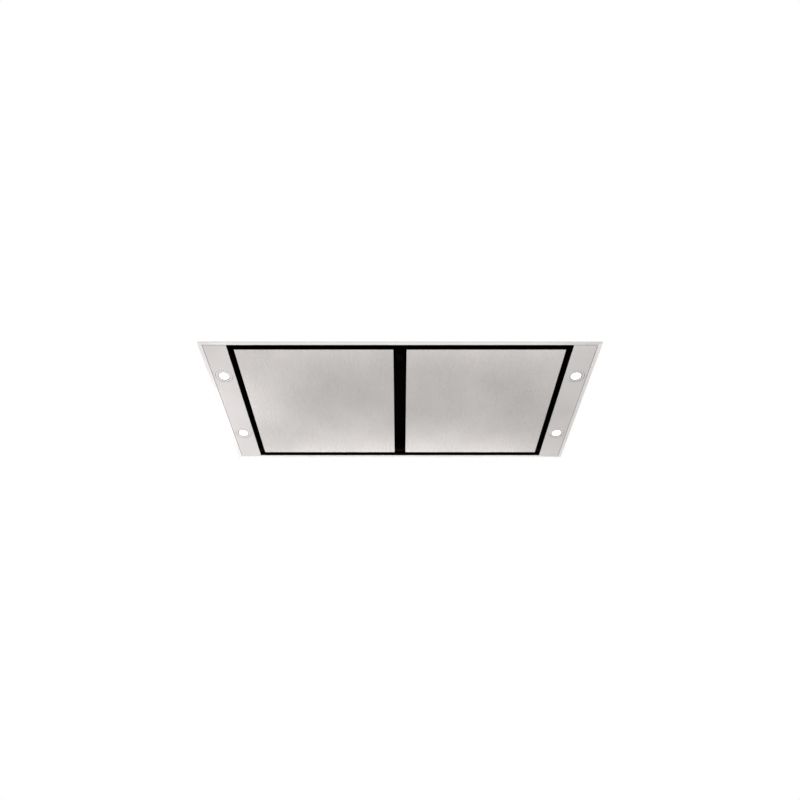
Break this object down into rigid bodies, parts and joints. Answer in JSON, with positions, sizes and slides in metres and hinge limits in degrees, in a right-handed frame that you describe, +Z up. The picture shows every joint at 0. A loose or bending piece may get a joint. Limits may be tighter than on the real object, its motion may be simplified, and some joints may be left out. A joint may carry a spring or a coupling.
{
  "type": "ceiling range hood",
  "caption": "Range hood set flush into a ceiling: hinged steel panels with perimeter suction slots, spot lamps, grease filters, centrifugal blower and round duct outlet with flaps.",
  "frame": {"origin": "centre of the visible lower face, at the face plane", "axes": "+X along the long side, +Y away from the picture's viewer, +Z up into the ceiling void"},
  "size_m": [1.2, 0.6, 0.3635],
  "materials": {
    "brushed_stainless_panel": "brushed along the depth, satin",
    "brushed_stainless_trim": "brushed, satin",
    "black_coated_steel": "matt black powder coat",
    "galvanised_steel": "zinc spangle",
    "galvanised_steel_thick": "zinc spangle",
    "zinc_screws": "bright zinc",
    "steel_shaft": "ground steel",
    "nickel_magnets": "nickel plate",
    "latch_steel": "satin",
    "satin_lamp_ring": "satin nickel",
    "lit_lens": "frosted, lit",
    "anodised_aluminium": "natural anodised",
    "filter_aluminium": "satin",
    "filter_mesh_aluminium": "expanded mesh",
    "black_plastic": "moulded, matt",
    "black_gloss_plastic": "smoked, gloss",
    "grey_plastic": "moulded, fine grain",
    "dark_plastic": "moulded",
    "flap_plastic": "moulded",
    "white_plastic": "moulded",
    "painted_motor": "stoved enamel",
    "foam_seal": "closed-cell foam",
    "black_rubber": "moulded rubber"
  },
  "bodies": {
    "hood": {"trim_frame": "brushed_stainless_trim", "ceiling_gasket": "foam_seal", "light_strip_left": "brushed_stainless_trim", "light_strip_right": "brushed_stainless_trim", "lamp_heat_sinks": "anodised_aluminium", "inlet_front": "black_coated_steel", "inlet_rear": "black_coated_steel", "inlet_left": "black_coated_steel", "inlet_right": "black_coated_steel", "centre_beam": "black_coated_steel", "receiver_window": "black_gloss_plastic", "housing_front": "galvanised_steel", "housing_rear": "galvanised_steel", "housing_left": "galvanised_steel", "housing_right": "galvanised_steel", "top_plate": "galvanised_steel", "hanger_brackets": "galvanised_steel_thick", "sheet_screws": "zinc_screws", "bracket_bolts": "zinc_screws", "hinge_bracket_left": "black_plastic", "hinge_bracket_right": "black_plastic", "hinge_bracket_centre": "black_plastic", "magnet_catches": "nickel_magnets", "blower_scroll": "grey_plastic", "motor": "painted_motor", "motor_bracket": "galvanised_steel_thick", "blower_hangers": "galvanised_steel_thick", "rubber_mounts": "black_rubber", "outlet_adapter": "grey_plastic", "duct_collar": "black_plastic", "damper_rod": "steel_shaft", "control_box": "galvanised_steel", "control_lid": "galvanised_steel", "terminal_block": "white_plastic", "cable_gland": "black_plastic", "lamp_bezel_1": "satin_lamp_ring", "lamp_lens_1": "lit_lens", "lamp_bezel_2": "satin_lamp_ring", "lamp_lens_2": "lit_lens", "lamp_bezel_3": "satin_lamp_ring", "lamp_lens_3": "lit_lens", "lamp_bezel_4": "satin_lamp_ring", "lamp_lens_4": "lit_lens", "filter_frame_left": "filter_aluminium", "filter_mesh_left": "filter_mesh_aluminium", "filter_frame_right": "filter_aluminium", "filter_mesh_right": "filter_mesh_aluminium"},
    "panel_left": {"panel_skin_left": "brushed_stainless_panel", "panel_backing_left": "black_coated_steel", "hinge_pins_left": "steel_shaft"},
    "panel_right": {"panel_skin_right": "brushed_stainless_panel", "panel_backing_right": "black_coated_steel", "hinge_pins_right": "steel_shaft"},
    "latch_left": {"filter_latch_left": "latch_steel"},
    "latch_right": {"filter_latch_right": "latch_steel"},
    "wheel": {"impeller": "dark_plastic", "motor_shaft": "steel_shaft"},
    "flap_front": {"damper_flap_front": "flap_plastic"},
    "flap_rear": {"damper_flap_rear": "flap_plastic"}
  },
  "joints": [
    {"name": "panel_left_hinge", "type": "hinge", "parent": "hood", "child": "panel_left", "pos_m": [-0.2588, 0.2603, 0.011], "axis": [1, 0, 0], "range_deg": [0, 90]},
    {"name": "panel_right_hinge", "type": "hinge", "parent": "hood", "child": "panel_right", "pos_m": [0.2588, 0.2603, 0.011], "axis": [1, 0, 0], "range_deg": [0, 90]},
    {"name": "latch_left_slide", "type": "slide", "parent": "hood", "child": "latch_left", "axis": [0, 1, 0], "range_m": [0, 0.008], "stiffness_N_per_m": 400, "springref_m": -0.004},
    {"name": "latch_right_slide", "type": "slide", "parent": "hood", "child": "latch_right", "axis": [0, 1, 0], "range_m": [0, 0.008], "stiffness_N_per_m": 400, "springref_m": -0.004},
    {"name": "wheel_spin", "type": "hinge", "parent": "hood", "child": "wheel", "pos_m": [0, -0.0765, 0.178], "axis": [1, 0, 0], "continuous": true},
    {"name": "flap_rear_hinge", "type": "hinge", "parent": "hood", "child": "flap_rear", "pos_m": [0, 0, 0.3095], "axis": [1, 0, 0], "range_deg": [0, 75]},
    {"name": "flap_front_hinge", "type": "hinge", "parent": "hood", "child": "flap_front", "pos_m": [0, 0, 0.3095], "axis": [-1, 0, 0], "range_deg": [0, 75]}
  ],
  "couplings": [
    {"joint": "flap_front_hinge", "follows": "flap_rear_hinge", "ratio": 1}
  ]
}
